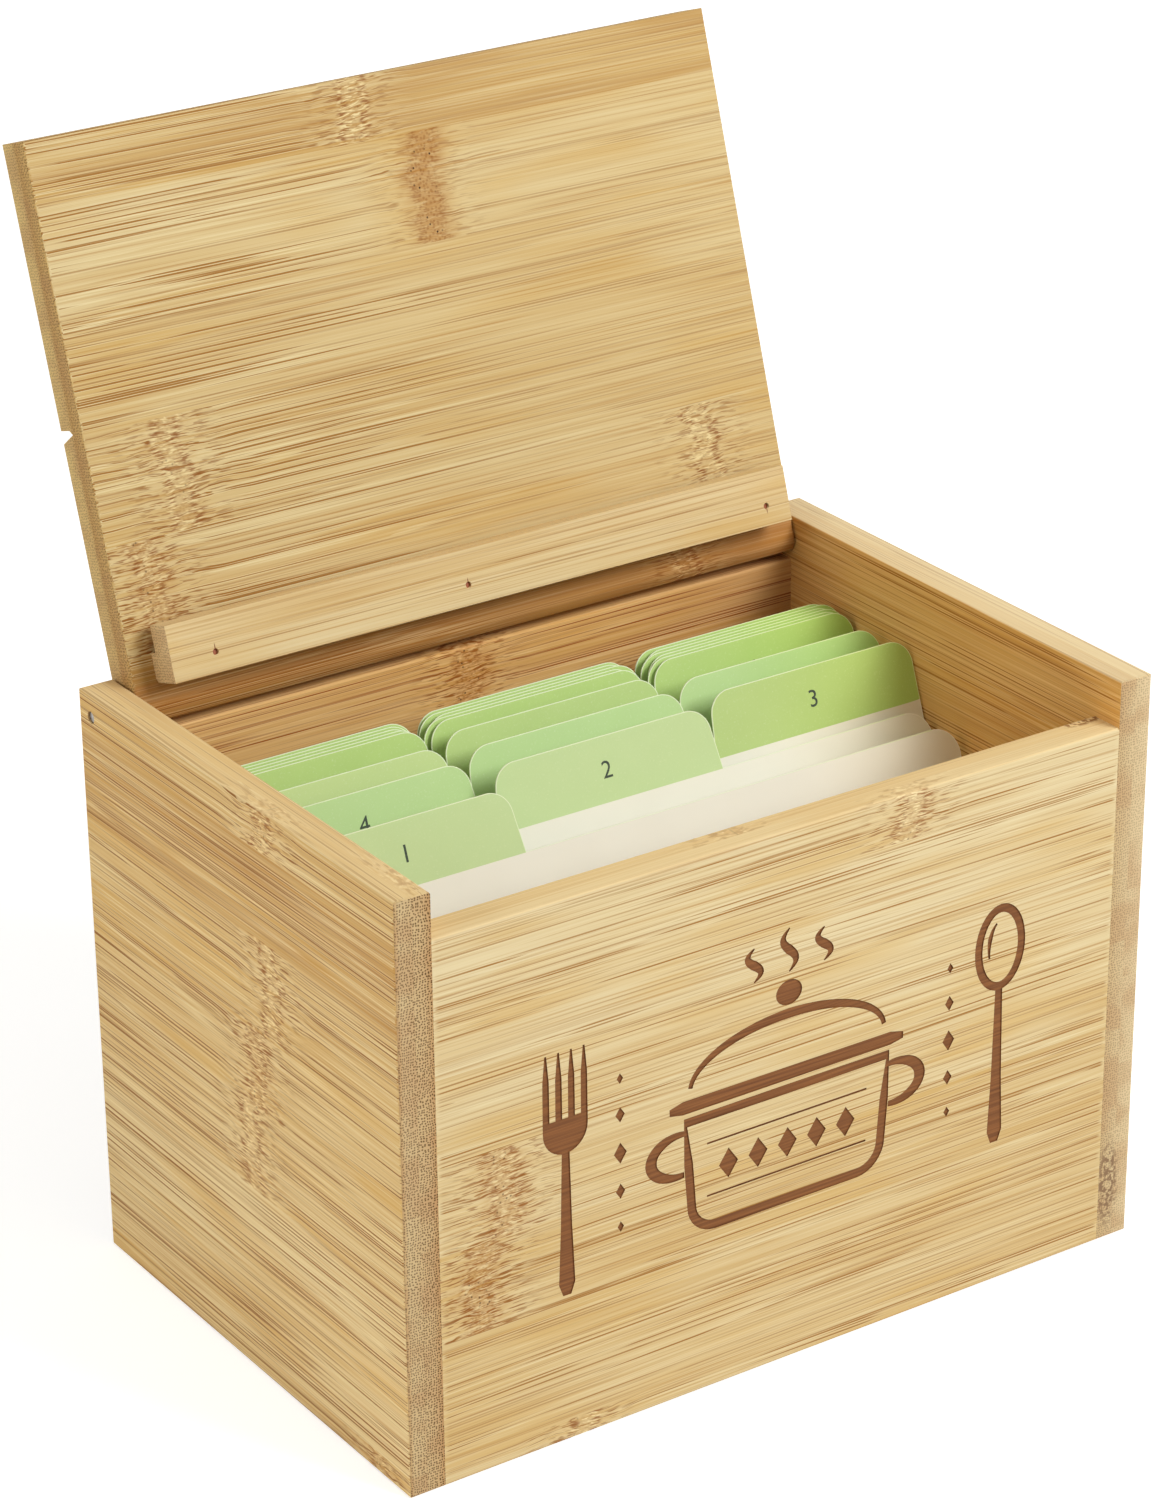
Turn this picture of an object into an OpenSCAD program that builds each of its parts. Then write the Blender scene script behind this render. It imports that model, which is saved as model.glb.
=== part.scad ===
// Bamboo recipe card box with a lid on two hidden pins, filed with tabbed paper dividers.
// Millimetres. The origin is the middle of the underside, +X to the right as seen from
// the front, +Y to the back, +Z up. The lid is drawn open, leaning back on its stop.

/* [Box] */
// Depth of the box, front face to back face
box_d = 112.4; // [104:0.1:150]
// Height of the side panels
box_h = 122; // [120:0.5:150]
// Thickness of the side, front and back panels
wall_t = 7.6; // [6:0.1:12]
// Thickness of the bottom panel
floor_t = 4; // [3:0.1:6]
// Width of the eased outer edges
edge_ease = 0.6; // [0.3:0.1:1.5]

/* [Lid] */
// Thickness of the lid
lid_t = 9.2; // [8:0.1:14]
// Gap between each end of the lid and the side panel beside it
lid_side_gap = 0.3; // [0.2:0.05:1]
// Gap under the closed lid, above the front and back panels
lid_seat_gap = 0.3; // [0.2:0.05:1]
// Angle that the lid opens to before its heel meets the back panel
open_angle = 107.8; // [100:0.1:120]
// Gap left between the heel and the back panel when the lid is open
stop_gap = 0.05; // [0.02:0.01:0.3]

/* [Hinge pins] */
// Diameter of the hinge pins
pin_d = 2.5; // [2:0.1:4]
// Length of pin inside the lid
pin_reach = 12; // [8:0.5:20]
// Depth of each pin's end below the outer face
pin_sink = 0.4; // [0.1:0.1:1.5]
// Radial running clearance of the pins in the lid
pin_play = 0.06; // [0.02:0.01:0.1]

/* [Card groove] */
// Distance from the hinge pins to the groove's straight wall
groove_at = 53.5; // [40:0.5:80]
// Width of the groove at the lid's face
groove_w = 2.7; // [1.5:0.1:4]
// Greatest depth of the groove
groove_depth = 5.1; // [3:0.1:6]
// Width of the groove's floor
groove_floor_w = 0.8; // [0.4:0.1:1.4]
// Rise of the groove's floor towards the straight wall
groove_floor_rise = 1.1; // [0:0.1:2]

/* [Batten] */
// Length of the batten across the lid
batten_len = 144; // [120:0.5:150]
// Width of the batten along the lid
batten_w = 11.2; // [8:0.1:18]
// Height of the batten off the lid
batten_h = 7.8; // [5:0.1:9]
// Distance from the hinge pins to the batten
batten_at = 3.9; // [3.5:0.1:8]
// Sideways shift of the batten from the lid's middle
batten_shift = -0.2; // [-2:0.1:2]
// Width of the rabbet along the batten
rabbet_w = 5.4; // [3:0.1:8]
// Depth of the rabbet
rabbet_h = 1.9; // [1:0.1:3]
// Chamfer of the batten's glued edge
batten_chamfer = 0.8; // [0.4:0.1:1.5]

/* [Brads] */
// Diameter of the brads
brad_d = 1; // [0.8:0.1:1.4]
// Length of the brads
brad_len = 14; // [11:0.5:15]
// Diameter of the brads' heads
brad_head_d = 1.3; // [1.2:0.1:2]
// Height of the brads' heads
brad_head_h = 0.5; // [0.3:0.1:1]
// Depth of the heads below the batten's face
brad_sink = 0.6; // [0.2:0.1:1.5]
// Distance from the hinge pins to the row of brads
brad_at = 7.9; // [6:0.1:9]

/* [Dividers] */
// Width of the dividers
divider_w = 152.4; // [120:0.1:180]
// Height of the dividers' bodies, without the tabs
divider_h = 99.1; // [85:0.1:100]
// Height of the tabs
tab_h = 12.7; // [8:0.1:14]
// Distance that a tab's free side leans in over its height
tab_flare = 1.5; // [0:0.1:4]
// Corner radius of the tabs
tab_r = 5; // [2:0.5:6]
// Distance that the middle tabs' sides stand past the dividers' thirds
tab_step = 0.5; // [0:0.1:2]
// Corner radius of the dividers' bodies
shoulder_r = 6; // [2:0.5:10]
// Thickness of the dividers' paper
paper_t = 0.25; // [0.2:0.01:0.5]
// Gap between neighbouring dividers in the packed stack
paper_gap = 0.13; // [0.1:0.01:0.5]
// Angle that the dividers lean back
lean = 20.5; // [14:0.5:21]
// Gap between the dividers and each side panel
divider_side_gap = 1.2; // [1.1:0.1:3]
// Gap between the dividers and the bottom panel
foot_gap = 0.1; // [0.05:0.05:0.5]
// Room in front of the first divider's foot
front_room = 4.7; // [1:0.1:10]
// Room between the last divider and the batten as the lid closes
sweep_gap = 0.35; // [0.2:0.05:2]

/* [Hidden] */
DIVIDER_COUNT = 24;
TABS_PER_ROW = 3;
DIVIDER_NODES = [for (i = [1 : DIVIDER_COUNT]) str("divider_", i < 10 ? "0" : "", i)];
BOX_NODES = [
    "left_side_panel", "right_side_panel", "front_panel", "rear_panel", "bottom_panel",
    "lid_panel", "lid_batten", "batten_brads", "hinge_pin_left", "hinge_pin_right"
];

// The inside is as wide as the dividers need, and the outside follows from the walls.
inner_w = divider_w + 2 * divider_side_gap;
box_w = inner_w + 2 * wall_t;
inner_front_y = -box_d / 2 + wall_t;

// The hinge axis lies half a lid's thickness in from the back and from the top.
pivot_y = box_d / 2 - lid_t / 2;
pivot_z = box_h - lid_t / 2;
end_panel_h = box_h - lid_t - lid_seat_gap;

// The lid runs from the front face to its heel, whose corner is the stop.
lid_w = inner_w - 2 * lid_side_gap;
lid_front = box_d / 2 + pivot_y;
stop_drop = pivot_z - end_panel_h - stop_gap;
heel_len = (stop_drop + lid_t / 2 * cos(open_angle)) / sin(open_angle);
pin_end_room = 1;
pin_bore_depth = pin_reach + pin_end_room;
pin_bore_r = pin_d / 2 + pin_play;

// Three brads, by their place along the batten from the box's middle.
BRAD_X = [-62.6, -5.7, 66.2];
brad_tip_h = 1.5;
brad_tip_d = 0.2;

// The last divider's top stays clear of the closing batten's corner, which sweeps past at
// this radius, and of the back panel where the batten passes above it.
batten_sweep_r = norm([batten_at + batten_w, lid_t / 2 + batten_h]);
divider_len = divider_h + tab_h;
foot_z = floor_t + foot_gap + paper_t * sin(lean);
back_top_z = foot_z + divider_len * cos(lean) - paper_t * sin(lean);
back_reach = wall_t - lid_t / 2 + sweep_gap;
sweep_reach_squared = pow(batten_sweep_r + sweep_gap, 2) - pow(pivot_z - back_top_z, 2);
last_reach = sqrt(max(sweep_reach_squared, pow(back_reach, 2)));
last_foot_y = pivot_y - last_reach - divider_len * sin(lean) - paper_t * cos(lean);
first_foot_y = inner_front_y + front_room;
tab_tilt = atan(tab_flare / tab_h);

// The first nine dividers fan out over the room that the packed stack leaves them, by
// these shares of it. The others stand one paper gap apart.
FAN = [9.2, 4.1, 1.4, 4.0, 3.0, 1.5, 4.0, 4.8];
packed_pitch = (paper_t + paper_gap) / cos(lean);
packed_count = DIVIDER_COUNT - 1 - len(FAN);
fan_room = last_foot_y - first_foot_y - packed_count * packed_pitch;
function total(list, last) = last < 0 ? 0 : list[last] + total(list, last - 1);
function foot_y(i) = i > len(FAN)
    ? last_foot_y - (DIVIDER_COUNT - 1 - i) * packed_pitch
    : first_foot_y + fan_room * total(FAN, i - 1) / total(FAN, len(FAN) - 1);

// Where each divider has settled sideways.
SETTLED_X = [
    -0.9, -0.6, 0.7, -0.7, -0.3, -0.9, -0.4, -0.2, 0.2, 0.9, 0.1, -0.5,
    0.6, -0.8, 0.4, -0.1, 0.8, -0.6, 0.3, -0.4, 0.9, 0.9, 0.0, -0.3
];

bamboo_side = [0.85, 0.71, 0.48];
bamboo_end = [0.87, 0.76, 0.56];
bamboo_lid = [0.83, 0.69, 0.45];
steel = [0.62, 0.62, 0.63];
ROW_TINTS = [
    [0.78, 0.85, 0.61], [0.69, 0.83, 0.58], [0.75, 0.85, 0.55], [0.65, 0.80, 0.45]
];
FACETS_ROUND = 48;
FACETS_CORNER = 6;
OVERCUT = 1;

// Points along an arc, from one angle to another.
function arc(centre, r, from, to, steps = FACETS_CORNER) =
    [for (k = [0 : steps]) let (a = from + (to - from) * k / steps) centre + r * [cos(a), sin(a)]];

// An outline from [0, 0] to size whose named corners are eased: bottom left, bottom
// right, top right and top left.
module eased_outline(size, eased) {
    e = edge_ease;
    polygon(concat(
        eased[0] ? arc([e, e], e, 180, 270) : [[0, 0]],
        eased[1] ? arc([size.x - e, e], e, 270, 360) : [[size.x, 0]],
        eased[2] ? arc([size.x - e, size.y - e], e, 0, 90) : [size],
        eased[3] ? arc([e, size.y - e], e, 90, 180) : [[0, size.y]]
    ));
}

// Stands an outline of X and Z up and carries it back along +Y.
module run_back(length) {
    translate([0, length, 0]) rotate([90, 0, 0]) linear_extrude(length) children();
}

// Stands an outline of Y and Z up and carries it along +X.
module run_across(length) {
    rotate([90, 0, 90]) linear_extrude(length) children();
}

// A side panel, with its outer face at x = 0 and the box towards +X.
module side_panel() {
    difference() {
        intersection() {
            linear_extrude(box_h) eased_outline([wall_t, box_d], [1, 0, 0, 1]);
            run_back(box_d) eased_outline([wall_t, box_h], [1, 0, 1, 1]);
            run_across(wall_t) eased_outline([box_d, box_h], [1, 1, 1, 1]);
        }
        translate([-OVERCUT, box_d / 2 + pivot_y, pivot_z])
            rotate([0, 90, 0]) cylinder(h = wall_t + 2 * OVERCUT, d = pin_d, $fn = FACETS_ROUND);
    }
}

module left_side_panel() {
    color(bamboo_side) translate([-box_w / 2, -box_d / 2, 0]) side_panel();
}

module right_side_panel() {
    color(bamboo_side) mirror([1, 0, 0]) translate([-box_w / 2, -box_d / 2, 0]) side_panel();
}

// The front or back panel, with its outer face at y = 0 and the box towards +Y.
module end_panel() {
    translate([-inner_w / 2, 0, 0])
        run_across(inner_w) eased_outline([wall_t, end_panel_h], [1, 0, 1, 1]);
}

module front_panel() {
    color(bamboo_end) translate([0, -box_d / 2, 0]) end_panel();
}

module rear_panel() {
    color(bamboo_end) mirror([0, 1, 0]) translate([0, -box_d / 2, 0]) end_panel();
}

module bottom_panel() {
    color(bamboo_end) translate([-inner_w / 2, inner_front_y, 0])
        cube([inner_w, box_d - 2 * wall_t, floor_t]);
}

// Turns what is drawn closed about the hinge axis: +X across the box, +Y from the axis
// towards the lid's free end, +Z from the lid's middle towards its outer face.
module on_open_lid() {
    translate([0, pivot_y, pivot_z]) rotate([-open_angle, 0, 0]) mirror([0, 1, 0]) children();
}

module lid_slab_outline() {
    half = lid_t / 2;
    translate([0, -half]) eased_outline([lid_front, lid_t], [0, 1, 1, 0]);
    translate([-heel_len, 0]) square([heel_len, half]);
    intersection() {
        circle(r = half, $fn = FACETS_ROUND);
        translate([-heel_len, -half]) square([heel_len, half]);
    }
}

module groove_outline() {
    top = lid_t / 2;
    polygon([
        [groove_at, top - groove_depth + groove_floor_rise],
        [groove_at, top + OVERCUT],
        [groove_at - groove_w, top + OVERCUT],
        [groove_at - groove_w, top],
        [groove_at - groove_floor_w, top - groove_depth]
    ]);
}

// A hole in the lid or the batten for one brad, or the brad itself.
module brad(x) {
    head_z = -lid_t / 2 - batten_h + brad_sink;
    translate([x, brad_at, head_z]) {
        cylinder(h = brad_head_h, d = brad_head_d, $fn = FACETS_ROUND);
        cylinder(h = brad_len - brad_tip_h, d = brad_d, $fn = FACETS_ROUND);
        translate([0, 0, brad_len - brad_tip_h])
            cylinder(h = brad_tip_h, d1 = brad_d, d2 = brad_tip_d, $fn = FACETS_ROUND);
    }
}

module brad_hole(x) {
    mouth_z = -lid_t / 2 - batten_h;
    brad(x);
    translate([x, brad_at, mouth_z - OVERCUT])
        cylinder(h = brad_sink + OVERCUT + brad_head_h, d = brad_head_d, $fn = FACETS_ROUND);
}

module lid_panel() {
    color(bamboo_lid) on_open_lid() difference() {
        intersection() {
            translate([-lid_w / 2, 0, 0]) run_across(lid_w) lid_slab_outline();
            translate([-lid_w / 2, -heel_len, -lid_t / 2])
                run_back(lid_front + heel_len) eased_outline([lid_w, lid_t], [1, 1, 1, 1]);
        }
        translate([-lid_w / 2 - OVERCUT, 0, 0]) run_across(lid_w + 2 * OVERCUT) groove_outline();
        for (side = [-1, 1]) translate([side * (lid_w / 2 - pin_bore_depth), 0, 0])
            rotate([0, side * 90, 0])
                cylinder(h = pin_bore_depth + OVERCUT, r = pin_bore_r, $fn = FACETS_ROUND);
        for (x = BRAD_X) brad(x);
    }
}

module batten_outline() {
    far = batten_at + batten_w;
    polygon([
        [batten_at, -batten_h],
        [far, -batten_h],
        [far, -rabbet_h],
        [far - rabbet_w, -rabbet_h],
        [far - rabbet_w, 0],
        [batten_at + batten_chamfer, 0],
        [batten_at, -batten_chamfer]
    ]);
}

module lid_batten() {
    color(bamboo_lid) on_open_lid() difference() {
        translate([batten_shift - batten_len / 2, 0, -lid_t / 2])
            run_across(batten_len) batten_outline();
        for (x = BRAD_X) brad_hole(x);
    }
}

module batten_brads() {
    color(steel) on_open_lid() for (x = BRAD_X) brad(x);
}

// A hinge pin driven in from the left, with its end just under the panel's face.
module hinge_pin() {
    translate([-box_w / 2 + pin_sink, pivot_y, pivot_z]) rotate([0, 90, 0])
        cylinder(h = wall_t - pin_sink + lid_side_gap + pin_reach, d = pin_d, $fn = FACETS_ROUND);
}

module hinge_pin_left() {
    color(steel) hinge_pin();
}

module hinge_pin_right() {
    color(steel) mirror([1, 0, 0]) hinge_pin();
}

// The middle of a tab's rounded corner, where its free side leans in from base_x.
function tab_corner(base_x) = [
    base_x - (tab_r + (tab_h - tab_r) * sin(tab_tilt)) / cos(tab_tilt),
    divider_len - tab_r
];

// The right half of a body's top, from the side up to the shoulder.
shoulder = arc(
    [divider_w / 2 - shoulder_r, divider_h - shoulder_r], shoulder_r, 0, 90
);

module middle_tab_outline() {
    base_x = divider_w / TABS_PER_ROW / 2 + tab_step;
    right_half = concat(
        [[divider_w / 2, 0]], shoulder, [[base_x, divider_h]],
        arc(tab_corner(base_x), tab_r, tab_tilt, 90)
    );
    left_half = [for (k = [len(right_half) - 1 : -1 : 0]) [-right_half[k].x, right_half[k].y]];
    polygon(concat(right_half, left_half));
}

module left_tab_outline() {
    half = divider_w / 2;
    base_x = divider_w / TABS_PER_ROW - half - tab_step;
    polygon(concat(
        [[-half, 0], [half, 0]], shoulder, [[base_x, divider_h]],
        arc(tab_corner(base_x), tab_r, tab_tilt, 90),
        arc([-half + tab_r, divider_len - tab_r], tab_r, 90, 180)
    ));
}

// A divider's outline, standing on y = 0, with its tab on the left at place 0, in the
// middle at place 1 and on the right at place 2.
module divider_outline(place) {
    if (place == 0) left_tab_outline();
    if (place == 1) middle_tab_outline();
    if (place == 2) mirror([1, 0]) left_tab_outline();
}

// Divider i, counted from 0 at the front. It leans back with its foot on the bottom.
module divider(i) {
    row = floor(i / TABS_PER_ROW);
    color(ROW_TINTS[min(row, len(ROW_TINTS) - 1)])
        translate([SETTLED_X[i], foot_y(i), foot_z]) rotate([90 - lean, 0, 0])
            translate([0, 0, -paper_t]) linear_extrude(paper_t) divider_outline(i % TABS_PER_ROW);
}

left_side_panel();
right_side_panel();
front_panel();
rear_panel();
bottom_panel();
lid_panel();
lid_batten();
batten_brads();
hinge_pin_left();
hinge_pin_right();
for (i = [0 : DIVIDER_COUNT - 1]) {
    divider(i);
}
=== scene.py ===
import math

import bmesh
import bpy
from mathutils import Matrix, Vector


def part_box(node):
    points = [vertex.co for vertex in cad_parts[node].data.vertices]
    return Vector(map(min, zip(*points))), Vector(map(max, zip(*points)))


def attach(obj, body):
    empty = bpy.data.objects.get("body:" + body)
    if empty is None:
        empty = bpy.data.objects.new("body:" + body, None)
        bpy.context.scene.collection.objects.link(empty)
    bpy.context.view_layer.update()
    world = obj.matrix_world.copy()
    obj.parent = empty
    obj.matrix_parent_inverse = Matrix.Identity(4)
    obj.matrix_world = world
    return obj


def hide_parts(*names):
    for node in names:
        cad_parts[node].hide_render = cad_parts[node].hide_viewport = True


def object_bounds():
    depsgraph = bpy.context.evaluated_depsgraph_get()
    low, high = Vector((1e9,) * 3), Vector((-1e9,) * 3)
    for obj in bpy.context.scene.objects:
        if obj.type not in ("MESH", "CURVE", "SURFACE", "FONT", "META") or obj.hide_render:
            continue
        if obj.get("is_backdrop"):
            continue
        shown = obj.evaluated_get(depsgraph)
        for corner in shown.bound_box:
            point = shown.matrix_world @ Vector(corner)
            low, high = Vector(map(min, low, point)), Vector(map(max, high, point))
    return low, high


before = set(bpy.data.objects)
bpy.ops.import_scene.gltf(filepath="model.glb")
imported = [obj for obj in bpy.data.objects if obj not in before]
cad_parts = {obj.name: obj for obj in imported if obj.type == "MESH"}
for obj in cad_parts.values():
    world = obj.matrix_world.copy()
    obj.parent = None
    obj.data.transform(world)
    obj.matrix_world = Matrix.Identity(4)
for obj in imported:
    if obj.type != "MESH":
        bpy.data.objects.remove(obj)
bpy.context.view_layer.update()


# ---- Bottom panel ----
# A thin board of laminated bamboo, glued in between the four walls. Bamboo is flat strips
# about 18 mm wide in two plies: dark fibres run the whole length of a strip, stop at its
# nodes, and show as dots where a board is cut across.


def shade(red, green, blue):
    """A colour as it is seen, 0 to 255, turned into the linear numbers of a shader."""
    linear = []
    for part in (red, green, blue):
        part = part / 255
        linear.append(part / 12.92 if part <= 0.04045 else ((part + 0.055) / 1.055) ** 2.4)
    return (*linear, 1.0)


def finish_of(name):
    """A new material, with its node tree and its shader."""
    material = bpy.data.materials.new(name)
    material.use_nodes = True
    return material, material.node_tree, material.node_tree.nodes["Principled BSDF"]


def feed(tree, socket, value):
    """Links a socket, or sets its plain value."""
    if isinstance(value, bpy.types.NodeSocket):
        tree.links.new(value, socket)
    else:
        socket.default_value = value


def sum_of(tree, operation, *values):
    """A Math node, for the sums that have no name of their own below."""
    node = tree.nodes.new("ShaderNodeMath")
    node.operation = operation
    for socket, value in zip(node.inputs, values):
        feed(tree, socket, value)
    return node.outputs[0]


def plus(tree, first, second):
    return sum_of(tree, "ADD", first, second)


def minus(tree, first, second):
    return sum_of(tree, "SUBTRACT", first, second)


def times(tree, first, second):
    return sum_of(tree, "MULTIPLY", first, second)


def line_up(tree, value, slope, start):
    """A straight line: the start, and the slope for each 1 of the value."""
    return sum_of(tree, "MULTIPLY_ADD", value, slope, start)


def size_of(tree, value):
    return sum_of(tree, "ABSOLUTE", value)


def arrow(tree, operation, *values):
    """A Vector Math node. A dot product and a length come out as a number."""
    node = tree.nodes.new("ShaderNodeVectorMath")
    node.operation = operation
    for socket, value in zip(node.inputs, values):
        feed(tree, socket, value)
    return node.outputs["Value" if operation in ("DOT_PRODUCT", "LENGTH") else "Vector"]


def point(tree, *values):
    """Up to three numbers made one place."""
    node = tree.nodes.new("ShaderNodeCombineXYZ")
    for socket, value in zip(node.inputs, values):
        feed(tree, socket, value)
    return node.outputs[0]


def parts_of(tree, value, kind="XYZ"):
    """The three numbers of a place, or of a colour where kind is Color."""
    node = tree.nodes.new("ShaderNodeSeparate" + kind)
    feed(tree, node.inputs[0], value)
    return node.outputs


def step(tree, value, nothing_at, all_at):
    """0 at one value and 1 at the other, with a soft change between them."""
    node = tree.nodes.new("ShaderNodeMapRange")
    node.interpolation_type = "SMOOTHSTEP"
    feed(tree, node.inputs["Value"], value)
    if nothing_at < all_at:
        limits = (nothing_at, all_at, 0.0, 1.0)
    else:
        limits = (all_at, nothing_at, 1.0, 0.0)
    for socket, limit in zip(("From Min", "From Max", "To Min", "To Max"), limits):
        node.inputs[socket].default_value = limit
    return node.outputs["Result"]


def cloud(tree, place, sizes, shift, detail=1.0):
    """Soft noise from 0 to 1, with blots of the given sizes. Each shift gives another one."""
    spot = arrow(tree, "MULTIPLY_ADD", place, [1 / s for s in sizes],
                 [shift, shift * 1.7, shift * 0.6])
    node = tree.nodes.new("ShaderNodeTexNoise")
    node.inputs["Scale"].default_value = 1.0
    node.inputs["Detail"].default_value = detail
    feed(tree, node.inputs["Vector"], spot)
    return node.outputs[0]


def honeycomb(tree, place, scale, randomness=1.0):
    """Cells in a plane, each with its own colour, and the distance from a cell's middle."""
    node = tree.nodes.new("ShaderNodeTexVoronoi")
    node.voronoi_dimensions = "2D"
    node.inputs["Scale"].default_value = scale
    node.inputs["Randomness"].default_value = randomness
    feed(tree, node.inputs["Vector"], place)
    return node.outputs


def centred(tree, value, reach):
    """Turns 0 to 1 into a swing of that reach about nothing."""
    return times(tree, minus(tree, value, 0.5), reach)


def blend(tree, share, first, second, kind="MIX"):
    """Mixes two colours."""
    node = tree.nodes.new("ShaderNodeMix")
    node.data_type = "RGBA"
    node.blend_type = kind
    feed(tree, node.inputs["Factor"], share)
    feed(tree, node.inputs["A"], first)
    feed(tree, node.inputs["B"], second)
    return node.outputs["Result"]


def scale_of(tree, stops, value, kind="LINEAR"):
    """A colour ramp through the given stops."""
    node = tree.nodes.new("ShaderNodeValToRGB")
    ramp = node.color_ramp
    ramp.interpolation = kind
    while len(ramp.elements) < len(stops):
        ramp.elements.new(1.0)
    for element, (position, colour) in zip(ramp.elements, stops):
        element.position = position
        element.color = colour
    feed(tree, node.inputs["Fac"], value)
    return node.outputs


def emboss(tree, shader, height, strength, depth):
    """Fine relief in the shading, with its depth in metres."""
    node = tree.nodes.new("ShaderNodeBump")
    node.inputs["Strength"].default_value = strength
    node.inputs["Distance"].default_value = depth
    feed(tree, node.inputs["Height"], height)
    feed(tree, shader.inputs["Normal"], node.outputs["Normal"])


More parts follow.
